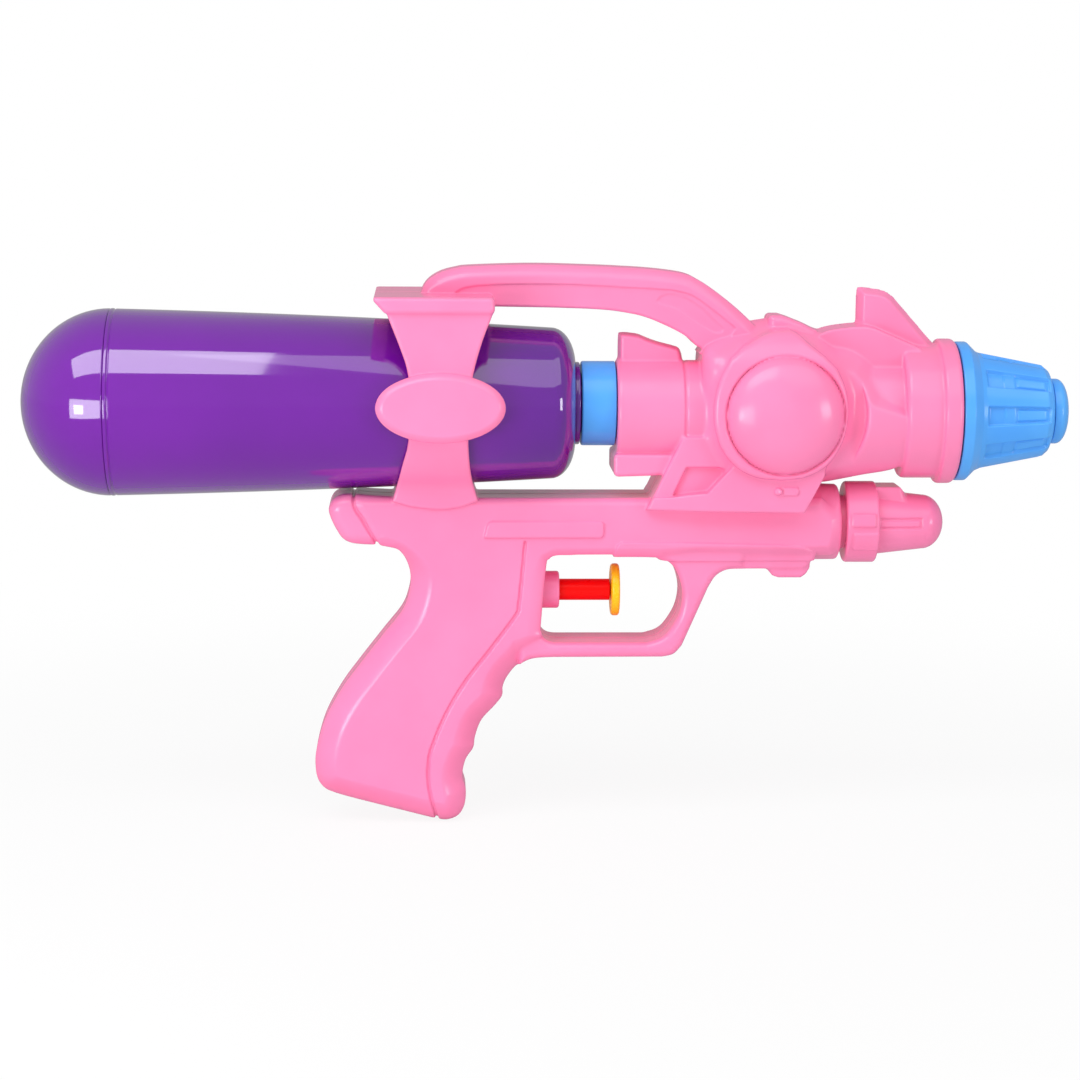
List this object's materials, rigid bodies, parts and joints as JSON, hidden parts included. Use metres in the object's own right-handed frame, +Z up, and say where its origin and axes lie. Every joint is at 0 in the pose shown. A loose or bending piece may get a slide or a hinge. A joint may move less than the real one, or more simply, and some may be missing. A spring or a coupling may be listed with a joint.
{
  "type": "hand-pumped toy water squirter",
  "caption": "Pistol-shaped toy water squirter with a screw-on rear water tank, strap, carry handle, finger-pulled pump rod, ribbed twist nozzle and a clamshell body held by screws.",
  "frame": {"origin": "centre of the overall length and width, at the level of the grip's lowest point", "axes": "+X forwards along the tank and barrel towards the nozzle, +Y to the right side of the squirter, where the screw heads are, +Z up as the squirter is held"},
  "size_m": [0.33, 0.0648, 0.1767],
  "materials": {
    "pink_shell": "satin moulded pink plastic",
    "purple_tank": "glossy, slightly see-through purple plastic",
    "blue_plastic": "satin light blue plastic",
    "red_plastic": "glossy red plastic",
    "yellow_plastic": "glossy yellow plastic",
    "white_plastic": "plain natural white plastic, inside",
    "soft_hose": "soft milky hose, inside",
    "dark_rubber": "dark rubber, inside",
    "steel": "bare steel screws, springs and balls"
  },
  "bodies": {
    "body": {"left_shell": "pink_shell", "right_shell": "pink_shell", "tank_collar": "blue_plastic", "nozzle_tube": "white_plastic", "nozzle_seal": "dark_rubber", "lower_front_cap": "pink_shell", "pump_gland": "pink_shell", "pump_cylinder": "white_plastic", "return_spring": "steel", "inlet_spring": "steel", "outlet_spring": "steel", "inlet_cap": "white_plastic", "outlet_cap": "white_plastic", "suction_hose": "soft_hose", "delivery_hose": "soft_hose", "case_screw_1": "steel", "case_screw_2": "steel", "case_screw_3": "steel", "case_screw_4": "steel", "case_screw_5": "steel", "case_screw_6": "steel", "case_screw_7": "steel", "case_screw_8": "steel"},
    "trigger": {"trigger_rod": "red_plastic", "trigger_disc": "yellow_plastic", "piston": "white_plastic", "piston_ring": "dark_rubber"},
    "thread_carrier": {"tank_washer": "dark_rubber"},
    "tank": {"tank_body": "purple_tank", "tank_end_dome": "purple_tank"},
    "nozzle": {"nozzle_cone": "blue_plastic", "nozzle_tip": "blue_plastic"},
    "inlet_valve": {"inlet_ball": "steel"},
    "outlet_valve": {"outlet_ball": "steel"}
  },
  "joints": [
    {"name": "trigger_slide", "type": "slide", "parent": "body", "child": "trigger", "axis": [-1, 0, 0], "range_m": [0, 0.015], "stiffness_N_per_m": 250, "springref_m": -0.012, "deforming": ["return_spring"]},
    {"name": "tank_back_off", "type": "slide", "parent": "body", "child": "thread_carrier", "axis": [-1, 0, 0], "range_m": [0, 0.0075]},
    {"name": "tank_unscrew", "type": "hinge", "parent": "thread_carrier", "child": "tank", "pos_m": [0, 0, 0.1328], "axis": [-1, 0, 0], "range_deg": [0, 900]},
    {"name": "nozzle_twist", "type": "hinge", "parent": "body", "child": "nozzle", "pos_m": [0.13, 0, 0.1306], "axis": [1, 0, 0], "range_deg": [0, 180]},
    {"name": "inlet_ball_lift", "type": "slide", "parent": "body", "child": "inlet_valve", "axis": [0, 0, -1], "range_m": [0, 0.0008], "stiffness_N_per_m": 20, "springref_m": -0.001, "deforming": ["inlet_spring"]},
    {"name": "outlet_ball_lift", "type": "slide", "parent": "body", "child": "outlet_valve", "axis": [0, 0, 1], "range_m": [0, 0.0008], "stiffness_N_per_m": 20, "springref_m": -0.001, "deforming": ["outlet_spring"]}
  ],
  "couplings": [
    {"joint": "tank_back_off", "follows": "tank_unscrew", "m_per_rad": 0.0004774}
  ]
}
